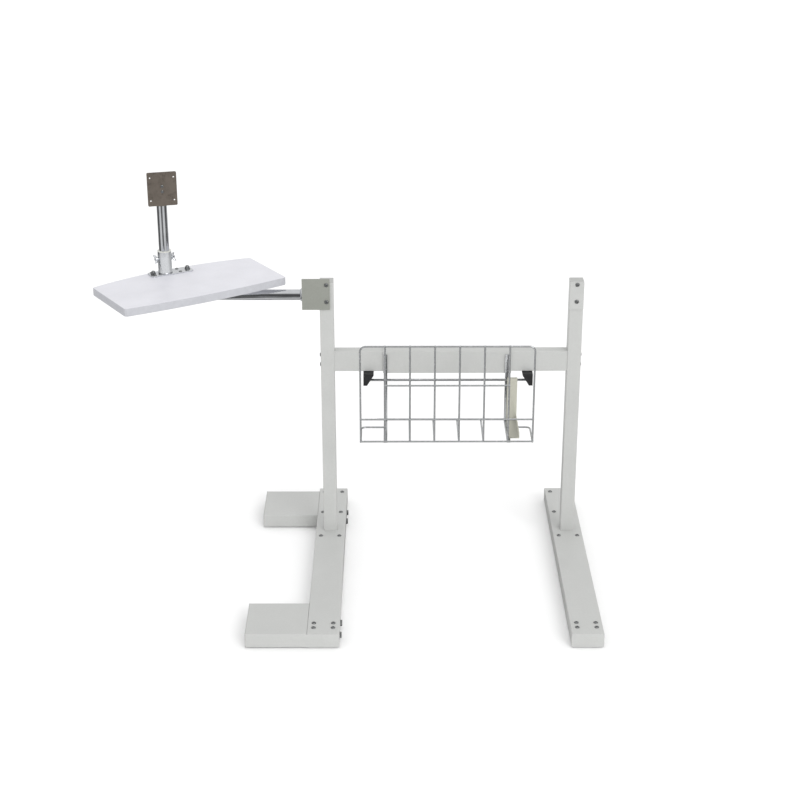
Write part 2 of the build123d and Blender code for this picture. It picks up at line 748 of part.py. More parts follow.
# front grille: a rounded outer loop, six bars and two rails
R = WIRE / 2
XS = [GRID_X0 + GRID_PITCH * k for k in range(8)]
with BuildPart() as front_grille:
    with BuildLine(facing(GRID_Y)):
        FilletPolyline((XS[0], GRID_Z0 - R), (XS[0], GRID_Z1),
                       (XS[7], GRID_Z1), (XS[7], GRID_Z0 - R), radius=18)
    with BuildSketch(level(GRID_Z0 - R)):
        with Locations((XS[0], GRID_Y)):
            Circle(R)
    sweep()
    with BuildSketch(sideways(XS[0])):
        with Locations((GRID_Y, GRID_Z0)):
            Circle(R)
    extrude(amount=XS[7] - XS[0])
    with BuildSketch(level(GRID_Z0)):
        with Locations(*[(x, GRID_Y + 5) for x in XS[1:7]]):
            Circle(R)
    extrude(amount=GRID_Z1 - GRID_Z0)
    with BuildSketch(sideways(XS[0])):
        with Locations((GRID_Y, 545)):
            Circle(R)
    extrude(amount=XS[7] - XS[0])
    with BuildSketch(sideways(XS[1] - 3)):
        with Locations((GRID_Y, 663)):
            Circle(R)
    extrude(amount=XS[6] - XS[1] + 6)
save(front_grille.part, "front_grille")

with BuildPart() as floor_grille:
    with BuildSketch(facing(HANG_Y0 - 0.5)):
        with Locations(*[(x, GRID_Z0) for x in XS[1:7]]):
            Circle(R)
    extrude(amount=HANG_Y0 - 0.5 - (GRID_Y + 5 + R))
    with BuildSketch(sideways(XS[1] - 28)):
        with Locations((HANG_Y0 - 5, GRID_Z0 + 5)):
            Circle(R)
    extrude(amount=XS[6] - XS[1] + 56)
    for x0, x1 in ((XS[0], XS[1]), (XS[7], XS[6])):
        with BuildLine(level(GRID_Z0)):
            FilletPolyline((x0, GRID_Y + R + 0.2), (x0, 114), (x1, 114),
                           radius=14)
        with BuildSketch(facing(GRID_Y + R + 0.2)):
            with Locations((x0, GRID_Z0)):
                Circle(R)
        sweep()
save(floor_grille.part, "floor_grille")

# sliding stop that keeps the computer in place
with BuildPart() as stop:
    y1 = ROD_Y - ROD_D / 2 - 0.8
    z0 = GRID_Z0 + R + 0.5
    with BuildSketch(sideways(STOP_X - STOP_W / 2)):
        with BuildLine():
            Polyline((14, z0), (y1, z0), (y1, 617.4), (y1 + 8, 617.4),
                     (y1 + 8, 620.4), (y1 - 3, 620.4), (y1 - 3, z0 + 3),
                     (14, z0 + 3), close=True)
        make_face()
    extrude(amount=STOP_W)
    with BuildSketch(sideways(STOP_X + STOP_W / 2 - 3)):
        with BuildLine():
            Polyline((14, z0), (y1, z0), (y1, z0 + 18), (14, z0 + 18),
                     close=True)
        make_face()
    extrude(amount=3)
    fillet(stop.edges().filter_by(Axis.X).sort_by(
        lambda e: (e.center() - Vector(e.center().X, 14, z0 + 18)).length)
        [:1], 8)
save(stop.part, "computer_stop")
print("parts written", len(os.listdir("parts")))
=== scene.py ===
# %% [markdown]
# # A desk frame that carries a computer
#
# The real thing is a stand made of square steel tube with a light grey
# powder coat.  A welded wire basket hangs in it for the computer, a side arm
# carries a keyboard tray, and a short chrome mast on the tray holds a screen.
# The measured shapes come ready made as separate parts, one object for each.
# This lesson gives every part the finish of its real material, and makes
# again, in finer detail, the small pieces that the eye goes to: the welded
# wires, the bolts, the dome nuts and the wing screws.

# %% Load the frame
import bpy
import bmesh
import json
from math import radians, sin, cos, pi
from mathutils import Vector, Matrix


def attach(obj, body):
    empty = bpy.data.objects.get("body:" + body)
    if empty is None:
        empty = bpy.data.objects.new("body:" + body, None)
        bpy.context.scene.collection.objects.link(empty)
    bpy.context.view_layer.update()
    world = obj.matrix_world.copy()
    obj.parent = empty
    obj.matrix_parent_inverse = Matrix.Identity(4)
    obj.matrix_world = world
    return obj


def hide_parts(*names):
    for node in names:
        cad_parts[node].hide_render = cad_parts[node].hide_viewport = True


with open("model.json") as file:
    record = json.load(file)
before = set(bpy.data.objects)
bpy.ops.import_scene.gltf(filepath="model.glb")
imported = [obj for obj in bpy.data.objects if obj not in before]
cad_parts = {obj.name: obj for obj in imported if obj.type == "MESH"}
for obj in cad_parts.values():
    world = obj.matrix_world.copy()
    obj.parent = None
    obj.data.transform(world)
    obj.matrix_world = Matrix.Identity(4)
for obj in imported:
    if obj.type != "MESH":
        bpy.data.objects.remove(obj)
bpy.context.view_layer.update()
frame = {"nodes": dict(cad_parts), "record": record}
MM = 0.001

# %% [markdown]
# ## Helpers
#
# Colours are written the way a paint chart or a web page writes them, as
# sRGB hex, but the renderer works in linear light, so one function converts
# them.  A second function adds one node to any node tree, with its settings,
# its numbers and its links, so that a recipe reads from top to bottom.

# %% Colours and nodes
def linear(text):
    """'#rrggbb' as linear RGBA."""
    parts = [int(text[k:k + 2], 16) / 255 for k in (1, 3, 5)]
    return [v / 12.92 if v < 0.04045 else ((v + 0.055) / 1.055) ** 2.4
            for v in parts] + [1.0]


def put(tree, kind, feeds=None, **settings):
    """Add a node; feeds are numbers, or sockets to link from."""
    node = tree.nodes.new(kind)
    for key, value in settings.items():
        setattr(node, key, value)
    for key, value in (feeds or {}).items():
        if isinstance(value, bpy.types.NodeSocket):
            tree.links.new(value, node.inputs[key])
        else:
            node.inputs[key].default_value = value
    return node


def blank(name):
    """An empty material with its shader and the object's coordinates."""
    mat = bpy.data.materials.new(name)
    mat.use_nodes = True
    tree = mat.node_tree
    tree.nodes.clear()
    shader = put(tree, "ShaderNodeBsdfPrincipled")
    put(tree, "ShaderNodeOutputMaterial", {"Surface": shader.outputs[0]})
    place = put(tree, "ShaderNodeTexCoord").outputs["Object"]
    return mat, tree, shader, place


def shades(tree, factor, low, high, start=0.3, stop=0.7):
    """A soft change between two hex colours along a factor."""
    ramp = put(tree, "ShaderNodeValToRGB", {"Fac": factor})
    ramp.color_ramp.elements[0].position = start
    ramp.color_ramp.elements[1].position = stop
    ramp.color_ramp.elements[0].color = linear(low)
    ramp.color_ramp.elements[1].color = linear(high)
    return ramp.outputs["Color"]


def spread(tree, factor, low, high, start=0.3, stop=0.7):
    """Stretch a factor's range start..stop onto low..high."""
    return put(tree, "ShaderNodeMapRange",
               {"Value": factor, "From Min": start, "From Max": stop,
                "To Min": low, "To Max": high}).outputs["Result"]


print("helpers ready")

# %% [markdown]
# ## Powder coat
#
# Powder coat is a plastic powder that is sprayed dry onto steel and melted in
# an oven.  It flows into a thick skin with a fine orange peel, about two
# millimetres from hill to hill, and a soft gloss.  Handling leaves patches
# that are a little more or less shiny, and the skin is never quite one
# shade.  A noise the size of the orange peel drives the bump, and a large
# slow noise drives the shade and the roughness.

# %% Powder coat
def powder_coat(name, low, high, rough=0.42, peel_mm=1.9):
    """Baked powder paint: peel in the bump, slow patches in the shade."""
    mat, tree, shader, place = blank(name)
    patch = put(tree, "ShaderNodeTexNoise",
                {"Vector": place, "Scale": 1 / (140 * MM), "Detail": 4.0,
                 "Roughness": 0.6}).outputs["Fac"]
    peel = put(tree, "ShaderNodeTexNoise",
               {"Vector": place, "Scale": 1 / (peel_mm * MM),
                "Detail": 2.0}).outputs["Fac"]
    specks = put(tree, "ShaderNodeTexNoise",
                 {"Vector": place, "Scale": 1 / (7 * MM), "Detail": 6.0,
                  "Roughness": 0.7}).outputs["Fac"]
    tone = put(tree, "ShaderNodeMath", {0: patch, 1: specks, 2: 0.22},
               operation="MULTIPLY_ADD", use_clamp=True).outputs[0]
    bump = put(tree, "ShaderNodeBump",
               {"Height": peel, "Strength": 0.35,
                "Distance": 0.06 * MM}).outputs["Normal"]
    for key, value in (("Base Color", shades(tree, tone, low, high,
                                             0.3, 0.65)),
                       ("Roughness", spread(tree, patch, rough - 0.05,
                                            rough + 0.07)),
                       ("Normal", bump)):
        tree.links.new(value, shader.inputs[key])
    shader.inputs["IOR"].default_value = 1.5
    return mat


finish = {
    "frame_paint": powder_coat("powder_coat_light_grey",
                               "#b7b8b6", "#bfc0be"),
    # The bracket is the frame's light grey powder coat, darkened as painted
    # shade from the tray and arm above it.
    "bracket_paint": powder_coat("powder_coat_grey_painted_shade",
                                 "#898b84", "#92948d", 0.38),
    "stop_paint": powder_coat("powder_coat_beige_grey",
                              "#b3b2a5", "#bcbbae", 0.45),
}
print("powder coats:", len(finish))

# %% [markdown]
# ## Moulded plastics and rubber
#
# Caps, wedges and bushes are moulded: the steel mould is spark eroded, which
# leaves a fine even grain of about half a millimetre on the plastic.  A
# Voronoi pattern gives such a grain its cells.  Black polypropylene goes
# grey where it rubs, nylon is milky and a little waxy, and rubber is dull.

# %% Moulded plastic
def moulded(name, low, high, rough, grain_mm=0.9, lift=0.05, waxy=0.0):
    """Moulded plastic with eroded grain and rubbed, paler patches."""
    mat, tree, shader, place = blank(name)
    grain = put(tree, "ShaderNodeTexVoronoi",
                {"Vector": place, "Scale": 1 / (grain_mm * MM)}
                ).outputs["Distance"]
    rub = put(tree, "ShaderNodeTexNoise",
              {"Vector": place, "Scale": 1 / (18 * MM), "Detail": 7.0,
               "Roughness": 0.65}).outputs["Fac"]
    bump = put(tree, "ShaderNodeBump",
               {"Height": grain, "Strength": 0.3,
                "Distance": lift * MM}).outputs["Normal"]
    for key, value in (("Base Color", shades(tree, rub, low, high,
                                             0.35, 0.75)),
                       ("Roughness", spread(tree, rub, rough,
                                            rough + 0.12)),
                       ("Normal", bump)):
        tree.links.new(value, shader.inputs[key])
    shader.inputs["IOR"].default_value = 1.49
    shader.inputs["Subsurface Weight"].default_value = waxy
    shader.inputs["Subsurface Radius"].default_value = (0.002,) * 3
    return mat


finish.update({
    "cap_plastic": moulded("moulded_abs_grey", "#adaeac", "#b5b6b4", 0.45),
    "glide_rubber": moulded("moulded_rubber_dark", "#1b1b1c", "#2a2a2b",
                            0.7),
    "nylon": moulded("turned_nylon_white", "#d9d9d2", "#e4e4de", 0.4,
                     waxy=0.08),
    "wedge_plastic": moulded("moulded_polypropylene_black", "#131314",
                             "#242425", 0.42, 1.1, 0.08),
    "edge_plastic": moulded("extruded_edge_trim_pale_grey", "#b4b5ba",
                            "#bdbec3", 0.38, 1.6, 0.03),
})
print("plastics ready")

# %% [markdown]
# ## Melamine
#
# The tray is chipboard under a melamine skin, pressed against an embossed
# steel sheet, which leaves a pearl texture of about a millimetre.  It is
# nearly white with a faint cold tint, and faint grey smudges gather where
# hands rest.

# %% Melamine
def melamine(name):
    """Pressed melamine skin: pearl in the bump, smudges in the shade."""
    mat, tree, shader, place = blank(name)
    pearl = put(tree, "ShaderNodeTexNoise",
                {"Vector": place, "Scale": 1 / (1.1 * MM), "Detail": 3.0,
                 "Roughness": 0.55}).outputs["Fac"]
    smudge = put(tree, "ShaderNodeTexNoise",
                 {"Vector": place, "Scale": 1 / (95 * MM), "Detail": 5.0,
                  "Roughness": 0.62}).outputs["Fac"]
    fleck = put(tree, "ShaderNodeTexVoronoi",
                {"Vector": place, "Scale": 1 / (3.2 * MM)}
                ).outputs["Distance"]
    tone = put(tree, "ShaderNodeMath", {0: fleck, 1: 0.18, 2: smudge},
               operation="MULTIPLY_ADD").outputs[0]
    bump = put(tree, "ShaderNodeBump",
               {"Height": pearl, "Strength": 0.3,
                "Distance": 0.05 * MM}).outputs["Normal"]
    for key, value in (("Base Color", shades(tree, tone, "#d4d4da",
                                             "#dddde3", 0.35, 0.8)),
                       ("Roughness", spread(tree, smudge, 0.34, 0.46)),
                       ("Normal", bump)):
        tree.links.new(value, shader.inputs[key])
    shader.inputs["IOR"].default_value = 1.5
    return mat


finish["laminate"] = melamine("melamine_pearl_pale_grey")
print("melamine ready")

# %% [markdown]
# ## Metals
#
# Three ways of finishing metal show on this stand.  Zinc plating is bright
# with small cloudy spangles.  Chrome plate is a mirror with hair-fine
# scratches.  Brushed steel carries long parallel scratches from a belt, so
# its noise is squeezed along the brushing direction, which a Mapping node
# turns to follow the part.  Metals keep the shader's own index of
# refraction, because their colour does that work.

# %% Plated metal
def plated(name, low, high, rough, cloud_mm=6.0, scratch=0.25):
    """Plated steel: cloudy spangle in the shade and the roughness."""
    mat, tree, shader, place = blank(name)
    cloud = put(tree, "ShaderNodeTexNoise",
                {"Vector": place, "Scale": 1 / (cloud_mm * MM),
                 "Detail": 5.0, "Roughness": 0.6,
                 "Distortion": 0.6}).outputs["Fac"]
    fine = put(tree, "ShaderNodeTexNoise",
               {"Vector": place, "Scale": 1 / (0.8 * MM), "Detail": 3.0}
               ).outputs["Fac"]
    bump = put(tree, "ShaderNodeBump",
               {"Height": fine, "Strength": scratch,
                "Distance": 0.02 * MM}).outputs["Normal"]
    for key, value in (("Base Color", shades(tree, cloud, low, high)),
                       ("Roughness", spread(tree, cloud, rough,
                                            rough + 0.09)),
                       ("Normal", bump)):
        tree.links.new(value, shader.inputs[key])
    shader.inputs["Metallic"].default_value = 1.0
    return mat


# %% Brushed metal
def brushed(name, low, high, rough, turn=(0, 0, 0), stretch=(1, 40, 40),
            line_mm=0.9, depth=0.35):
    """Belt-brushed metal; stretch is small along the scratches."""
    mat, tree, shader, place = blank(name)
    along = put(tree, "ShaderNodeMapping",
                {"Vector": place, "Rotation": [radians(a) for a in turn]}
                ).outputs[0]
    squeezed = put(tree, "ShaderNodeMapping",
                   {"Vector": along, "Scale": stretch}).outputs[0]
    lines = put(tree, "ShaderNodeTexNoise",
                {"Vector": squeezed, "Scale": 1 / (40 * line_mm * MM),
                 "Detail": 4.0, "Roughness": 0.6}).outputs["Fac"]
    stain = put(tree, "ShaderNodeTexNoise",
                {"Vector": place, "Scale": 1 / (35 * MM), "Detail": 5.0,
                 "Roughness": 0.65}).outputs["Fac"]
    tone = put(tree, "ShaderNodeMath", {0: lines, 1: stain},
               operation="ADD").outputs[0]
    bump = put(tree, "ShaderNodeBump",
               {"Height": lines, "Strength": depth,
                "Distance": 0.03 * MM}).outputs["Normal"]
    for key, value in (("Base Color", shades(tree, tone, low, high,
                                             0.75, 1.25)),
                       ("Roughness", spread(tree, stain, rough - 0.05,
                                            rough + 0.08)),
                       ("Normal", bump)):
        tree.links.new(value, shader.inputs[key])
    shader.inputs["Metallic"].default_value = 1.0
    return mat


TRAY_YAW = 32.9
finish.update({
    "wire_zinc": plated("bright_zinc_plated_wire", "#b4b6b8", "#cdcfd0",
                        0.2, 5.0),
    "bolt_zinc": plated("zinc_plated_bolt_steel", "#77797a", "#929393",
                        0.34, 3.0),
    "chrome_tube": plated("bright_chrome_plate", "#bfc1c4", "#d0d2d4",
                          0.05, 60.0, 0.08),
    "inner_steel": brushed("mill_finish_steel", "#77787a", "#8d8e90",
                           0.42),
    "socket_steel": brushed("satin_nickel_plate", "#b9bbbe", "#d3d5d8",
                            0.22, (0, 0, -TRAY_YAW), (40, 40, 1)),
    "plate_steel": brushed("brushed_stainless_dark", "#625a52", "#8a8178",
                           0.33, (0, 0, -TRAY_YAW), (1, 40, 40)),
})
print("finishes:", ", ".join(sorted(finish)))

# %% [markdown]
# ## Finishes onto the measured parts
#
# The record names a finish for each part.  The parts stay exactly as they
# were measured, and only their material slots change.

# %% Give each part its finish
for entry in frame["record"]["subparts"]:
    part = frame["nodes"][entry["node"]]
    if not part.material_slots:
        part.data.materials.append(None)
    for holder in part.material_slots:
        holder.material = finish[entry["material_slot"]]

# %% [markdown]
# ## Round parts, smooth
#
# The measured parts arrive as loose triangles, so a chrome tube would show
# its facets.  For the round ones a copy is made whose triangles are joined,
# and the renderer may then shade across every edge that turns by less than
# thirty degrees.  The copy takes the original's place in the picture.

# %% Smooth copies of the round parts
def smooth_copy(node, degrees=30):
    """A joined, smooth-shaded copy of a measured part."""
    mesh = frame["nodes"][node].data.copy()
    joined = bmesh.new()
    joined.from_mesh(mesh)
    bmesh.ops.remove_doubles(joined, verts=joined.verts, dist=1e-6)
    joined.to_mesh(mesh)
    joined.free()
    mesh.name = node + "_smooth"
    mesh.shade_smooth()
    mesh.set_sharp_from_angle(angle=radians(degrees))
    piece = bpy.data.objects.new(node + "_smooth", mesh)
    bpy.context.scene.collection.objects.link(piece)
    return piece


def belongs(piece, body, slot, *nodes):
    """Hang the piece on its body's empty and hide the parts it replaces."""
    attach(piece, body)
    if nodes:
        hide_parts(*nodes)


slot_of = {e["node"]: e["material_slot"]
           for e in frame["record"]["subparts"]}
body_of = {node: body for body, nodes
           in frame["record"]["behaviour"]["bodies"].items()
           for node in nodes}
for node in ("mast_tube", "mast_socket", "socket_liner", "arm_tube",
             "arm_collar", "swivel_housing", "swivel_bush",
             "swivel_spindle", "spindle_keeper", "pan_head", "tilt_bolt",
             "rear_rod", "tray_edge_band", "beam_saddle", "left_hanger",
             "right_hanger", "computer_stop"):
    belongs(smooth_copy(node), body_of[node], slot_of[node], node)
    print("smooth:", node)

# %% [markdown]
# ## Bent and welded wires
#
# The basket is made of six millimetre wire.  Long straight wires are cut,
# the outer one is bent to a frame with round corners, and the crossings are
# pressed together between electrodes until they fuse, which leaves a small
# soft bulge at each.  The wires follow paths, and the bulges repeat, so a
# Geometry Nodes tree makes both: it takes plain lines and marked points,
# rounds the bends, sweeps a circle along the lines and sets a bulge on each
# marked point.

# %% The wire tree
def wire_tree():
    """Sweep a wire along each line and set a bulge on each weld."""
    tree = bpy.data.node_groups.new("welded_wires", "GeometryNodeTree")
    for name, kind in (("Lines", "Geometry"), ("Wire diameter", "Float"),
                       ("Bend radius", "Float"), ("Weld size", "Float"),
                       ("Weld seed", "Int"), ("Finish", "Material")):
        tree.interface.new_socket(name=name, in_out="INPUT",
                                  socket_type="NodeSocket" + kind)
    tree.interface.new_socket(name="Wires", in_out="OUTPUT",
                              socket_type="NodeSocketGeometry")
    given = put(tree, "NodeGroupInput").outputs
    marked = put(tree, "GeometryNodeInputNamedAttribute",
                 {"Name": "weld"}, data_type="BOOLEAN"
                 ).outputs["Attribute"]
    split = put(tree, "GeometryNodeSeparateGeometry",
                {"Geometry": given["Lines"], "Selection": marked},
                domain="POINT").outputs
    radius = put(tree, "ShaderNodeMath", {0: given["Wire diameter"],
                                          1: 0.5},
                 operation="MULTIPLY").outputs[0]
    paths = put(tree, "GeometryNodeMeshToCurve",
                {"Mesh": split["Inverted"]}).outputs["Curve"]
    bent = put(tree, "GeometryNodeFilletCurve",
               {"Curve": paths, "Count": 6,
                "Radius": given["Bend radius"]}, mode="POLY"
               ).outputs["Curve"]
    circle = put(tree, "GeometryNodeCurvePrimitiveCircle",
                 {"Resolution": 14, "Radius": radius}).outputs["Curve"]
    wires = put(tree, "GeometryNodeCurveToMesh",
                {"Curve": bent, "Profile Curve": circle,
                 "Fill Caps": True}).outputs["Mesh"]
    bulge = put(tree, "GeometryNodeMeshUVSphere",
                {"Segments": 10, "Rings": 7,
                 "Radius": given["Weld size"]}).outputs["Mesh"]
    uneven = put(tree, "FunctionNodeRandomValue",
                 {2: 0.82, 3: 1.12, "Seed": given["Weld seed"]},
                 data_type="FLOAT").outputs[1]
    welds = put(tree, "GeometryNodeInstanceOnPoints",
                {"Points": split["Selection"], "Instance": bulge,
                 "Scale": uneven}).outputs["Instances"]
    both = put(tree, "GeometryNodeJoinGeometry", {"Geometry": wires})
    tree.links.new(welds, both.inputs["Geometry"])
    real = put(tree, "GeometryNodeRealizeInstances",
               {"Geometry": both.outputs["Geometry"]}
               ).outputs["Geometry"]
    done = put(tree, "GeometryNodeSetMaterial",
               {"Geometry": real, "Material": given["Finish"]}
               ).outputs["Geometry"]
    put(tree, "NodeGroupOutput", {"Wires": done})
    return tree


def grown(name, carrier, tree, values, degrees=40):
    """Run a tree on a carrier mesh and keep the result as a mesh."""
    helper = bpy.data.objects.new(name + "_carrier", carrier)
    bpy.context.scene.collection.objects.link(helper)
    modifier = helper.modifiers.new("tree", "NODES")
    modifier.node_group = tree
    for item in tree.interface.items_tree:
        if item.in_out == "INPUT" and item.name in values:
            modifier[item.identifier] = values[item.name]
    ready = bpy.context.evaluated_depsgraph_get()
    mesh = bpy.data.meshes.new_from_object(helper.evaluated_get(ready),
                                           depsgraph=ready)
    bpy.data.objects.remove(helper)
    mesh.name = name
    mesh.shade_smooth()
    mesh.set_sharp_from_angle(angle=radians(degrees))
    piece = bpy.data.objects.new(name, mesh)
    bpy.context.scene.collection.objects.link(piece)
    print(name, "faces:", len(mesh.polygons))
    return piece


wires_tree = wire_tree()
print("tree:", wires_tree.name)

# %% [markdown]
# The front grille has eight uprights, the two outer ones being the legs of
# the bent frame, and three rails.  The floor has six wires from front to
# back, one across, and a hooked wire under each outer cell.

# %% Lines and weld points of the basket
WIRE, WELD = 6.0, 3.5
COLUMNS = [50.0 + 79.6 * k for k in range(8)]
FRONT_Y, BAR_Y = -2.0, 3.0
FLOOR_Z, SHELF_Z, MIDDLE_Z, RIM_Z = 467.0, 545.0, 663.0, 797.0
BACK_Y, REST_Y, HOOK_Y = 174.1, 169.6, 114.0
PAST_END = 3.0              # a wire ends this far past its last crossing
REST_END = 28.0             # the rest wire reaches this far into the ends
LAP = 5.0                   # between the centres of two crossing wires


def carrier(name, paths, welds):
    """Lines and marked points, given in millimetres, as one mesh."""
    verts, edges, marks = [], [], []
    for path in paths:
        first = len(verts)
        verts += path
        edges += [(first + k, first + k + 1)
                  for k in range(len(path) - 1)]
        marks += [False] * len(path)
    verts += welds
    marks += [True] * len(welds)
    mesh = bpy.data.meshes.new(name)
    mesh.from_pydata([Vector(v) * MM for v in verts], edges, [])
    mesh.attributes.new("weld", "BOOLEAN", "POINT").data.foreach_set(
        "value", marks)
    return mesh


left_x, right_x = COLUMNS[0], COLUMNS[-1]
inner = COLUMNS[1:-1]
front_paths = [
    [(left_x, FRONT_Y, FLOOR_Z - PAST_END), (left_x, FRONT_Y, RIM_Z),
     (right_x, FRONT_Y, RIM_Z),
     (right_x, FRONT_Y, FLOOR_Z - PAST_END)],
    [(left_x, FRONT_Y, FLOOR_Z), (right_x, FRONT_Y, FLOOR_Z)],
    [(left_x, FRONT_Y, SHELF_Z), (right_x, FRONT_Y, SHELF_Z)],
    [(inner[0] - PAST_END, FRONT_Y, MIDDLE_Z),
     (inner[-1] + PAST_END, FRONT_Y, MIDDLE_Z)],
] + [[(x, BAR_Y, FLOOR_Z), (x, BAR_Y, RIM_Z)] for x in inner]
front_welds = [(x, (FRONT_Y + BAR_Y) / 2, z) for x in inner
               for z in (FLOOR_Z, SHELF_Z, MIDDLE_Z, RIM_Z)]
front_welds += [(x, FRONT_Y, z) for x in (left_x, right_x)
                for z in (FLOOR_Z, SHELF_Z)]
floor_paths = [[(x, 6, FLOOR_Z), (x, BACK_Y, FLOOR_Z)] for x in inner]
floor_paths.append([(inner[0] - REST_END, REST_Y, FLOOR_Z + LAP),
                    (inner[-1] + REST_END, REST_Y, FLOOR_Z + LAP)])
for outer, near in ((left_x, inner[0]), (right_x, inner[-1])):
    floor_paths.append([(outer, 1.2, FLOOR_Z), (outer, HOOK_Y, FLOOR_Z),
                        (near, HOOK_Y, FLOOR_Z)])
floor_welds = [(x, REST_Y, FLOOR_Z + LAP / 2) for x in inner]
floor_welds += [(x, 5, FLOOR_Z) for x in inner]
floor_welds += [(left_x, 1, FLOOR_Z), (right_x, 1, FLOOR_Z),
                (inner[0], HOOK_Y, FLOOR_Z),
                (inner[-1], HOOK_Y, FLOOR_Z)]
print("wires:", len(front_paths) + len(floor_paths), "welds:",
      len(front_welds) + len(floor_welds))

# %% Grow the basket
for name, paths, welds, bend, seed in (
        ("front_grille", front_paths, front_welds, 18, 4),
        ("floor_grille", floor_paths, floor_welds, 14, 9)):
    basket = grown(name + "_wires", carrier(name, paths, welds),
                   wires_tree,
                   {"Wire diameter": WIRE * MM, "Bend radius": bend * MM,
                    "Weld size": WELD * MM, "Weld seed": seed,
                    "Finish": finish["wire_zinc"]})
    belongs(basket, "basket", "wire_zinc", name)

# %% [markdown]
# ## Bolts and screws
#
# Button-head bolts with a hexagon socket close the feet, hexagon-head bolts
# hold the stub feet, and small cross-recess screws hold the plates.  Each
# kind is one shape, turned about its axis like work on a lathe, except that
# a ring's radius may follow a hexagon.  The shape is drawn once, and a
# Geometry Nodes tree sets it on each spot, pointing the way that the spot's
# "aim" says and turned by a random angle, as bolts are left by a spanner.

# %% Shapes from rings
def skin(name, rows, degrees=35):
    """A closed mesh through rows of points; one point is a pole."""
    verts, faces, numbers = [], [], []
    count = max(len(row) for row in rows)
    for row in rows:
        first = len(verts)
        verts += [Vector(p) * MM for p in row]
        numbers.append([first + (k if len(row) > 1 else 0)
                        for k in range(count)])
    for low, high in zip(numbers, numbers[1:]):
        for k in range(count):
            n = (k + 1) % count
            face = list(dict.fromkeys((low[k], low[n], high[n],
                                       high[k])))
            if len(face) > 2:
                faces.append(face)
    mesh = bpy.data.meshes.new(name)
    mesh.from_pydata(verts, [], faces)
    mesh.shade_smooth()
    mesh.set_sharp_from_angle(angle=radians(degrees))
    return mesh


def hexagon(flats):
    """Radius of a hexagon, by angle, from its width across flats."""
    return lambda a: flats / 2 / cos((a + pi / 6) % (pi / 3) - pi / 6)


def turned(name, stations, count=24):
    """Rings round the Z axis; radius and height may follow the angle."""
    rows = []
    for radius, height in stations:
        if radius == 0:
            rows.append([(0, 0, height)])
            continue
        ring = []
        for k in range(count):
            a = 2 * pi * k / count
            r = radius(a) if callable(radius) else radius
            h = height(a) if callable(height) else height
            ring.append((r * cos(a), r * sin(a), h))
        rows.append(ring)
    return skin(name, rows)


def button_bolt(shank):
    """M8 button head, 14 mm wide, with a 5 mm hexagon socket."""
    return turned("button_bolt", [
        (0, -shank), (3.4, -shank), (4, -shank + 0.8), (4, 0), (7, 0),
        (7, 0.6), (6.75, 1.3), (6.1, 2.2), (5.1, 2.95), (4.1, 3.35),
        (3.4, 3.5), (hexagon(5.2), 3.35), (hexagon(5), 3.1),
        (hexagon(5), 1.3), (1.5, 1.1), (0, 0.9)])


def hexagon_bolt(shank):
    """M10 hexagon head on a washer."""
    edge = hexagon(17)
    return turned("hexagon_bolt", [
        (0, -shank), (4.2, -shank), (5, -shank + 1), (5, 0), (10.4, 0),
        (10.6, 0.3), (10.6, 1.3), (10.3, 1.6), (8.6, 1.65),
        (lambda a: min(edge(a), 9.3), 1.7), (edge, 2.1), (edge, 5.3),
        (lambda a: min(edge(a), 9.2), 5.7),
        (lambda a: min(edge(a), 8.6), 5.95), (8.0, 6), (0, 6)])


def cross_screw():
    """Pan head with a cross recess."""
    def dip(deep):
        return lambda a: 2.5 - (deep if abs(
            (a + pi / 4) % (pi / 2) - pi / 4) < 0.3 else 0)
    return turned("cross_screw", [
        (0, -2), (2, -2), (2, 0), (5, 0), (5, 0.7), (4.7, 1.5),
        (4.0, 2.1), (3.2, 2.45), (2.9, 2.5), (2.6, dip(0.9)),
        (1.5, dip(1.2)), (0.9, 1.2), (0, 1.1)], 32)


def dome_nut():
    """M8 dome nut on a washer."""
    flats = hexagon(13)
    return turned("dome_nut", [
        (0, 0), (9, 0), (9, 1.2), (8.7, 1.5), (6.4, 1.55),
        (lambda a: min(flats(a), 7.0), 1.6), (flats, 2.0), (flats, 6.2),
        (lambda a: min(flats(a), 6.9), 6.7), (6.3, 6.9), (6.2, 7.8),
        (5.8, 9.2), (4.9, 10.6), (3.4, 11.5), (1.6, 11.9), (0, 12)])


print("screw shapes ready")

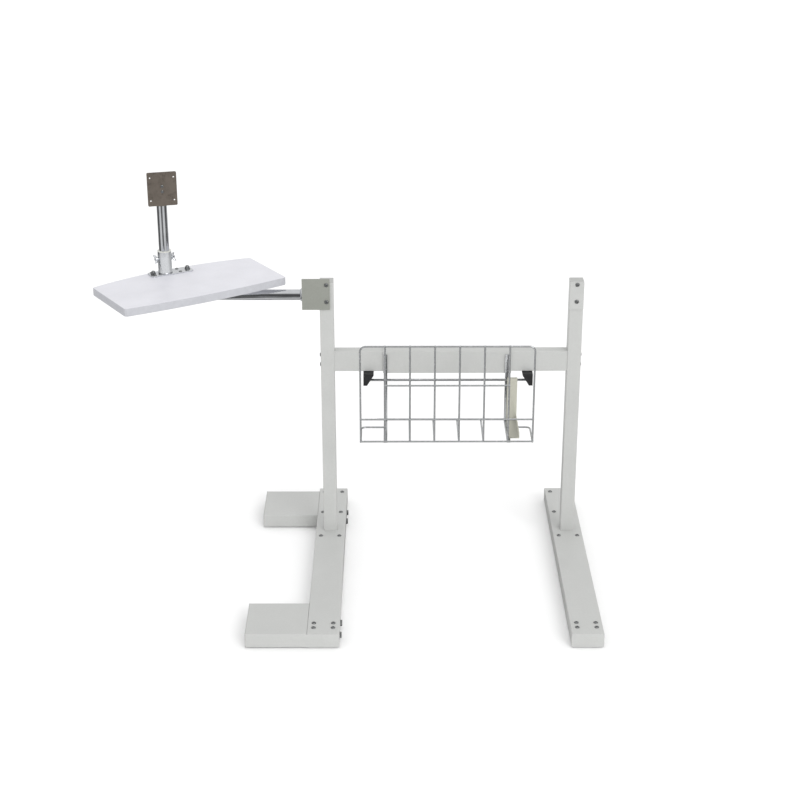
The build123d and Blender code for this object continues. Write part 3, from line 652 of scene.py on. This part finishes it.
# %% The setting-out tree
def screw_tree():
    """Set one screw on each spot, aimed and turned by chance."""
    tree = bpy.data.node_groups.new("set_out_screws",
                                    "GeometryNodeTree")
    for name, kind in (("Spots", "Geometry"), ("Screw", "Object"),
                       ("Most turn", "Float"), ("Turn seed", "Int"),
                       ("Finish", "Material")):
        tree.interface.new_socket(name=name, in_out="INPUT",
                                  socket_type="NodeSocket" + kind)
    tree.interface.new_socket(name="Screws", in_out="OUTPUT",
                              socket_type="NodeSocketGeometry")
    given = put(tree, "NodeGroupInput").outputs
    aim = put(tree, "GeometryNodeInputNamedAttribute",
              {"Name": "aim"}, data_type="FLOAT_VECTOR"
              ).outputs["Attribute"]
    stand = put(tree, "FunctionNodeAlignRotationToVector",
                {"Vector": aim}, axis="Z").outputs["Rotation"]
    angle = put(tree, "FunctionNodeRandomValue",
                {2: 0.0, 3: given["Most turn"],
                 "Seed": given["Turn seed"]},
                data_type="FLOAT").outputs[1]
    spin = put(tree, "ShaderNodeCombineXYZ", {"Z": angle}).outputs[0]
    placed = put(tree, "FunctionNodeRotateRotation",
                 {"Rotation": stand, "Rotate By": spin},
                 rotation_space="LOCAL").outputs["Rotation"]
    shape = put(tree, "GeometryNodeObjectInfo",
                {"Object": given["Screw"]}).outputs["Geometry"]
    many = put(tree, "GeometryNodeInstanceOnPoints",
               {"Points": given["Spots"], "Instance": shape,
                "Rotation": placed}).outputs["Instances"]
    real = put(tree, "GeometryNodeRealizeInstances",
               {"Geometry": many}).outputs["Geometry"]
    done = put(tree, "GeometryNodeSetMaterial",
               {"Geometry": real, "Material": given["Finish"]}
               ).outputs["Geometry"]
    put(tree, "NodeGroupOutput", {"Screws": done})
    return tree


setting_out = screw_tree()


def set_out(name, shape, spots, aim, slot, body, node, seed):
    """One fastener shape on every spot, all aimed the same way."""
    sample = bpy.data.objects.new(name + "_sample", shape)
    bpy.context.scene.collection.objects.link(sample)
    points = bpy.data.meshes.new(name + "_spots")
    points.from_pydata([Vector(s) * MM for s in spots], [], [])
    if isinstance(aim, tuple):
        aim = [aim] * len(spots)
    points.attributes.new("aim", "FLOAT_VECTOR", "POINT"
                          ).data.foreach_set(
        "vector", [c for way in aim for c in way])
    piece = grown(name, points, setting_out,
                  {"Screw": sample, "Most turn": 2 * pi,
                   "Turn seed": seed, "Finish": finish[slot]}, 35)
    bpy.data.objects.remove(sample)
    belongs(piece, body, slot, node)


print("tree:", setting_out.name)

# %% Where the bolts sit
LEFT_X, RIGHT_X, PLANE_Y = -61.0, 752.5, 203.0
FOOT_TOP, FOOT_FRONT, FOOT_REAR = 50.0, -513.0, 513.0
FOOT_HALF, UPRIGHT_HALF = 50.0, 22.5
TOE_ACROSS, TOE_ROWS = (-30, 30), (39, 67)
BASE_ACROSS, BASE_ROWS = (-31.5, 31.5), (-62, 119)
REAR_ROW = 29
STUB_ROWS, STUB_Z = (-466, -394, 311, 377), 20
BEAM_ROWS, PLATE_ROWS = (657, 691), (942, 884)
tops = []
for x in (LEFT_X, RIGHT_X):
    tops += [(x + a, FOOT_FRONT + b, FOOT_TOP) for a in TOE_ACROSS
             for b in TOE_ROWS]
    tops += [(x + a, PLANE_Y + b, FOOT_TOP) for a in BASE_ACROSS
             for b in BASE_ROWS]
    tops += [(x + a, FOOT_REAR - REAR_ROW, FOOT_TOP)
             for a in BASE_ACROSS]
set_out("foot_bolts_set", button_bolt(10), tops, (0, 0, 1),
        "bolt_zinc", "frame", "foot_bolts", 3)
set_out("stub_bolts_set", hexagon_bolt(116),
        [(LEFT_X + FOOT_HALF, y, STUB_Z) for y in STUB_ROWS],
        (1, 0, 0), "bolt_zinc", "frame", "stub_bolts", 5)
beam_spots = [(x, PLANE_Y, z)
              for x in (LEFT_X - UPRIGHT_HALF, RIGHT_X + UPRIGHT_HALF)
              for z in BEAM_ROWS]
set_out("beam_bolts_set", button_bolt(57), beam_spots,
        [(-1, 0, 0), (-1, 0, 0), (1, 0, 0), (1, 0, 0)],
        "bolt_zinc", "frame", "beam_bolts", 8)
for name, x, y in (("bracket_bolts", LEFT_X, 175.5),
                   ("blank_plate_bolts", RIGHT_X, 176.5)):
    set_out(name + "_set", button_bolt(14),
            [(x, y, z) for z in PLATE_ROWS], (0, -1, 0),
            "bolt_zinc", "frame", name, 11)

# %% [markdown]
# The mast stands on the tray a little off the swivel, its base plate turned
# almost with the tray and its head turned more to the front.  Two flat
# frames, one for the base and one for the head, turn local sizes into
# places, so that the small screws can be written along and across.

# %% Screws of the tray, the mast base and the monitor plate
SWIVEL_X, MAST_U, MAST_V = -589.166, 27.0, 42.0
BASE_YAW, HEAD_YAW = 29.0, 14.0
PLATE_UNDER, BASE_TOP, TILT_Z = 927, 961, 1253
HEAD_FACE = -44             # the small screws' seat, in front of the mast


def spun(yaw, x, y):
    """A flat point turned by yaw degrees."""
    a = radians(yaw)
    return (x * cos(a) - y * sin(a), x * sin(a) + y * cos(a))


def on_tray(u, v, z):
    """A place given along and across the tray from its swivel."""
    x, y = spun(TRAY_YAW, u, v)
    return (SWIVEL_X + x, PLANE_Y + y, z)


def on_mast(u, v, z, yaw):
    """A place given along and across a part turned on the mast."""
    x, y = spun(yaw, u, v)
    foot = on_tray(MAST_U, MAST_V, z)
    return (foot[0] + x, foot[1] + y, z)


set_out("tray_screws_set", cross_screw(),
        [on_tray(u, v, PLATE_UNDER) for u in (-62, 62) for v in (-98, 14)],
        (0, 0, -1), "bolt_zinc", "tray", "tray_screws", 2)
set_out("base_screws_set", cross_screw(),
        [on_mast(u, v, BASE_TOP, BASE_YAW) for u in (-42, 46)
         for v in (-16, 16)],
        (0, 0, 1), "bolt_zinc", "tray", "base_screws", 6)
set_out("base_dome_nuts_set", dome_nut(),
        [on_mast(u, 0, BASE_TOP, BASE_YAW) for u in (-42, 77)],
        (0, 0, 1), "bolt_zinc", "tray", "base_dome_nuts", 7)
head_front = spun(HEAD_YAW, 0, -1)
set_out("plate_screws_set", cross_screw(),
        [on_mast(0, HEAD_FACE, TILT_Z + a, HEAD_YAW) for a in (-9, 9)],
        (head_front[0], head_front[1], 0), "bolt_zinc",
        "monitor_mount", "plate_screws", 12)

# %% [markdown]
# ## Wing screws
#
# A wing screw is cast: a round hub with two ears that sweep up and out, so
# that a thumb and a finger can turn it.  The hub is turned on the lathe
# helper.  Each ear is a skin over ovals that move outwards and forwards and
# shrink to a rounded tip.

# %% Wing screws
SCREW_Z = 1010.0
EARS_LEAN = 0.6             # radians, from upright, as left by a hand


def ear(side):
    """One ear, from inside the hub to its tip, as a closed skin."""
    rows = [[(side * 2.0, 0, 28.5)]]
    for t in (0.0, 0.12, 0.3, 0.5, 0.7, 0.85, 0.95, 1.0):
        out = 3.5 + 11.6 * t
        rise = 28.5 + 6.0 * t ** 1.4
        tall = 3.6 + 0.9 * sin(pi * t) if t < 0.9 else 3.2 - 16 * (
            t - 0.9)
        thick = 2.6 - 1.0 * t if t < 0.9 else 1.6 - 8 * (t - 0.9)
        ring = []
        for k in range(14):
            a = 2 * pi * k / 14
            ring.append((side * out, side * thick * cos(a),
                         rise + tall * sin(a)))
        rows.append(ring)
    rows.append([(side * 15.4, 0, 34.5)])
    return skin("ear", rows, 60)


def wing_screw(name, way):
    """Hub, stem and two ears, laid along the mast base."""
    hub = turned("hub", [
        (0, 17.4), (3.2, 17.4), (4, 18.2), (4, 23.6), (6.4, 24),
        (7, 24.6), (7, 25.6), (6.3, 27), (5.9, 30), (5.4, 32.6),
        (4.2, 34.2), (2.2, 34.9), (0, 35)], 28)
    whole = bmesh.new()
    for part in (hub, ear(1), ear(-1)):
        whole.from_mesh(part)
    a = radians(BASE_YAW)
    out = Vector((cos(a), sin(a), 0)) * way
    tilt = Vector((0, 0, 1)) * cos(EARS_LEAN) + Vector(
        (-sin(a), cos(a), 0)) * sin(EARS_LEAN)
    turn = Matrix((tilt, out.cross(tilt), out)).transposed()
    whole.transform(Matrix.Translation(
        Vector(on_mast(0, 0, SCREW_Z, BASE_YAW)) * MM)
        @ turn.to_4x4())
    bmesh.ops.recalc_face_normals(whole, faces=whole.faces)
    mesh = bpy.data.meshes.new(name)
    whole.to_mesh(mesh)
    whole.free()
    mesh.shade_smooth()
    mesh.set_sharp_from_angle(angle=radians(50))
    mesh.materials.append(finish["socket_steel"])
    piece = bpy.data.objects.new(name, mesh)
    bpy.context.scene.collection.objects.link(piece)
    return piece


for side, way in (("left", -1), ("right", 1)):
    belongs(wing_screw(side + "_wing_screw_cast", way), side + "_wing",
            "socket_steel", side + "_wing_screw")
    print("wing screw:", side)

# %% [markdown]
# ## Camera, floor and light
#
# The stand is seen from the front, a little from above and far back, the way
# a catalogue shows it: upright lines stay almost parallel.  The floor and
# the room are white, and one broad soft sun stands to the front and right,
# so that fronts are a touch lighter than the left sides.

# %% Camera
camera = bpy.data.objects.new("camera", bpy.data.cameras.new("camera"))
bpy.context.scene.collection.objects.link(camera)
camera.location = (0.160, -4.964, 2.693)
camera.rotation_euler = (radians(90 - 22.74), 0, radians(-0.20))
camera.data.lens = 75.34
camera.data.sensor_width = 36
camera.data.clip_end = 60
bpy.context.scene.camera = camera
print("camera at", tuple(camera.location))

# %% Floor and lamps
floor_mesh = bpy.data.meshes.new("floor")
floor_mesh.from_pydata([(-14, -9, 0), (14, -9, 0), (14, 16, 0),
                        (-14, 16, 0)], [], [(0, 1, 2, 3)])
floor = bpy.data.objects.new("floor", floor_mesh)
bpy.context.scene.collection.objects.link(floor)
paper_mat, paper_tree, paper_shader, paper_place = blank(
    "white_studio_paper")
fibre = put(paper_tree, "ShaderNodeTexNoise",
            {"Vector": paper_place, "Scale": 1 / (2.5 * MM),
             "Detail": 2.0}).outputs["Fac"]
paper = shades(paper_tree, fibre, "#fafafa", "#fcfcfc")
paper_shader.inputs["Roughness"].default_value = 0.9
floor.data.materials.append(paper_mat)

sun_data = bpy.data.lights.new("soft_sun", "SUN")
sun_data.energy, sun_data.angle = 0.95, radians(28)
sun = bpy.data.objects.new("soft_sun", sun_data)
bpy.context.scene.collection.objects.link(sun)
sun.rotation_mode = "QUATERNION"
sun.rotation_quaternion = Vector((-0.42, 0.75, -0.5)
                                 ).to_track_quat("-Z", "Y")
print("sun:", sun_data.energy)

# %% [markdown]
# ## Screens for the chrome
#
# Chrome has no colour of its own and shows what stands round it, so in an
# all-white room it would vanish.  A studio stands dark and light screens
# round the object.  Here one ramp, read by the direction round an upright
# line, gives those bands.  The room has them below its ceiling, and the
# floor has them round the mast, because a mast seen from above mirrors the
# floor.  Only rays that bounce off something shiny see the bands.  The
# camera and all matt surfaces see plain white.  The bands belong to the
# room and the floor, so no material of the stand holds them.

# %% Bands by direction
BAND_STOPS = ((0.0, 0.10), (0.07, 0.12), (0.13, 0.8), (0.30, 0.75),
              (0.38, 0.10), (0.60, 0.05), (0.72, 0.50), (1.0, 0.9))


def bands(tree, across, back):
    """Greys from the front, at 0, round either side to the back, at 1."""
    front = put(tree, "ShaderNodeMath", {0: back, 1: -1.0},
                operation="MULTIPLY").outputs[0]
    side = put(tree, "ShaderNodeMath", {0: across},
               operation="ABSOLUTE").outputs[0]
    turn = put(tree, "ShaderNodeMath", {0: side, 1: front},
               operation="ARCTAN2").outputs[0]
    share = put(tree, "ShaderNodeMath", {0: turn, 1: pi},
                operation="DIVIDE").outputs[0]
    ramp = put(tree, "ShaderNodeValToRGB", {"Fac": share})
    for spot, grey in BAND_STOPS:
        if spot in (0.0, 1.0):
            stop = ramp.color_ramp.elements[0 if spot == 0 else -1]
        else:
            stop = ramp.color_ramp.elements.new(spot)
        stop.color = (grey, grey, grey, 1)
    return ramp.outputs["Color"]


print("bands:", len(BAND_STOPS), "stops")

# %% The floor shows shiny parts the same bands
TO_MAST = (0.59, -0.25, 0)  # moves the foot of the mast to the origin
around = put(paper_tree, "ShaderNodeMapping",
             {"Vector": paper_place, "Location": TO_MAST}).outputs[0]
flat = put(paper_tree, "ShaderNodeSeparateXYZ",
           {"Vector": around}).outputs
glossy = put(paper_tree, "ShaderNodeLightPath").outputs["Is Glossy Ray"]
mixed = put(paper_tree, "ShaderNodeMix",
            {0: glossy, 6: paper,
             7: bands(paper_tree, flat["X"], flat["Y"])},
            data_type="RGBA").outputs[2]
paper_tree.links.new(mixed, paper_shader.inputs["Base Color"])
print("floor banded for reflections")

# %% The white room with its dark screens
world = bpy.data.worlds.new("white_room")
world.use_nodes = True
room = world.node_tree
room.nodes.clear()
way = put(room, "ShaderNodeSeparateXYZ", {
    "Vector": put(room, "ShaderNodeTexCoord").outputs["Generated"]}
          ).outputs
WHITE = (1, 1, 1, 1)
ceiling = put(room, "ShaderNodeMapRange",
              {"Value": way["Z"], "From Min": 0.45, "From Max": 0.8}
              ).outputs["Result"]
seen = put(room, "ShaderNodeMix",
           {0: ceiling, 6: bands(room, way["X"], way["Y"]), 7: WHITE},
           data_type="RGBA").outputs[2]
shiny = put(room, "ShaderNodeLightPath").outputs["Is Glossy Ray"]
colour = put(room, "ShaderNodeMix",
             {0: shiny, 6: WHITE, 7: seen}, data_type="RGBA"
             ).outputs[2]
shell = put(room, "ShaderNodeBackground",
            {"Color": colour, "Strength": 1.0}).outputs[0]
put(room, "ShaderNodeOutputWorld", {"Surface": shell})
bpy.context.scene.world = world
bpy.context.scene.view_settings.view_transform = "Standard"
print("room: white, with dark screens for the chrome")
